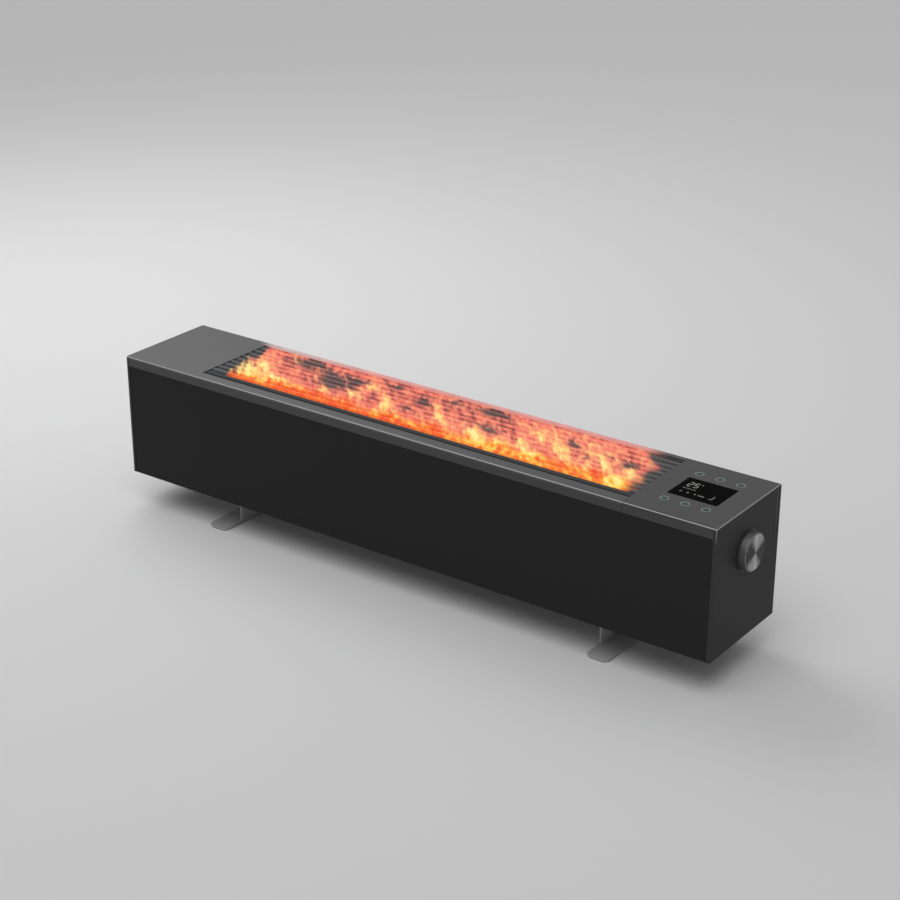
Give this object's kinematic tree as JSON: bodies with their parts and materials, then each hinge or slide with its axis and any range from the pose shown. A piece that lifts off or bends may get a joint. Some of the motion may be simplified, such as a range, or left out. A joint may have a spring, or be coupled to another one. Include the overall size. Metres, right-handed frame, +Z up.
{
  "type": "convector heater",
  "caption": "Low free-standing electric convector heater with a flame-effect grille, a control deck with display and round keys, a side knob and plate feet.",
  "frame": {"origin": "on the floor, under the middle of the whole length with the knob included, midway between front and rear", "axes": "+X along the heater towards the knob and the control deck, +Y to the rear, +Z up; the front faces -Y"},
  "size_m": [1.012, 0.168, 0.238],
  "materials": {
    "dark_sheet": "fine matt powder coat",
    "top_sheet": "satin metallic paint",
    "deck_sheet": "satin metallic paint",
    "end_paint": "satin powder coat",
    "rear_sheet": "matt powder coat",
    "grille_metal": "satin dark anodised look",
    "screen_plastic": "translucent smoked diffuser, lit from below",
    "light_board": "white circuit board with light chips",
    "inner_steel": "bare zinc-plated sheet",
    "tube_steel": "bare stainless steel",
    "fin_aluminium": "bare aluminium sheet",
    "ceramic_white": "unglazed steatite",
    "black_plastic": "moulded",
    "window_black": "gloss black window",
    "circuit_green": "solder mask",
    "ring_mint": "translucent light guide",
    "key_plastic": "satin",
    "knob_metal": "turned and anodised dark grey",
    "cap_metal": "turned face with circular grain",
    "bezel_metal": "anodised dark grey",
    "relay_blue": "moulded",
    "supply_amber": "wound core in tape",
    "cream_plastic": "moulded",
    "pad_rubber": "matt",
    "wire_black": "sleeved bundle",
    "wire_red": "silicone sleeve",
    "wire_grey": "flat grey lead",
    "foot_paint": "satin metallic paint",
    "screw_steel": "zinc plated",
    "screw_black": "black zinc"
  },
  "bodies": {
    "casing": {"front_panel": "dark_sheet", "top_frame": "top_sheet", "control_deck": "deck_sheet", "right_end_cap": "end_paint", "left_end_cap": "end_paint", "rear_cover": "rear_sheet", "base_tray": "rear_sheet", "grille": "grille_metal", "flame_screen": "screen_plastic", "flame_light_board": "light_board", "flame_tray": "inner_steel", "tray_spacers": "inner_steel", "heat_deflector": "inner_steel", "front_heat_shield": "inner_steel", "rear_heat_shield": "inner_steel", "left_bulkhead": "inner_steel", "right_bulkhead": "inner_steel", "heating_tube": "tube_steel", "element_fins": "fin_aluminium", "element_supports": "inner_steel", "element_insulators": "ceramic_white", "thermal_cutout": "black_plastic", "display_window": "window_black", "display_module": "black_plastic", "control_board": "circuit_green", "control_posts": "inner_steel", "key_rings": "ring_mint", "key_switches": "black_plastic", "knob_bezel": "bezel_metal", "rotary_switch": "black_plastic", "switch_nut": "screw_steel", "power_board": "circuit_green", "power_relays": "relay_blue", "power_supply": "supply_amber", "board_standoffs": "cream_plastic", "terminal_block": "cream_plastic", "tilt_switch": "cream_plastic", "room_sensor": "black_plastic", "cord_gland": "pad_rubber", "wire_loom": "wire_black", "element_leads": "wire_red", "flame_lead": "wire_grey", "foot_left": "foot_paint", "foot_right": "foot_paint", "foot_pads": "pad_rubber", "foot_screws": "screw_steel", "foot_nuts": "screw_steel", "casing_screws": "screw_black"},
    "knob": {"knob": "knob_metal", "knob_cap": "cap_metal", "knob_shaft": "tube_steel"},
    "key_1": {"key_1": "key_plastic"},
    "key_2": {"key_2": "key_plastic"},
    "key_3": {"key_3": "key_plastic"},
    "key_4": {"key_4": "key_plastic"},
    "key_5": {"key_5": "key_plastic"},
    "key_6": {"key_6": "key_plastic"}
  },
  "joints": [
    {"name": "knob_turn", "type": "hinge", "parent": "casing", "child": "knob", "pos_m": [0.494, 0, 0.1765], "axis": [1, 0, 0], "range_deg": [-135, 135]},
    {"name": "key_1_press", "type": "slide", "parent": "casing", "child": "key_1", "axis": [0, 0, -1], "range_m": [0, 0.0008], "stiffness_N_per_m": 1500},
    {"name": "key_2_press", "type": "slide", "parent": "casing", "child": "key_2", "axis": [0, 0, -1], "range_m": [0, 0.0008], "stiffness_N_per_m": 1500},
    {"name": "key_3_press", "type": "slide", "parent": "casing", "child": "key_3", "axis": [0, 0, -1], "range_m": [0, 0.0008], "stiffness_N_per_m": 1500},
    {"name": "key_4_press", "type": "slide", "parent": "casing", "child": "key_4", "axis": [0, 0, -1], "range_m": [0, 0.0008], "stiffness_N_per_m": 1500},
    {"name": "key_5_press", "type": "slide", "parent": "casing", "child": "key_5", "axis": [0, 0, -1], "range_m": [0, 0.0008], "stiffness_N_per_m": 1500},
    {"name": "key_6_press", "type": "slide", "parent": "casing", "child": "key_6", "axis": [0, 0, -1], "range_m": [0, 0.0008], "stiffness_N_per_m": 1500}
  ]
}
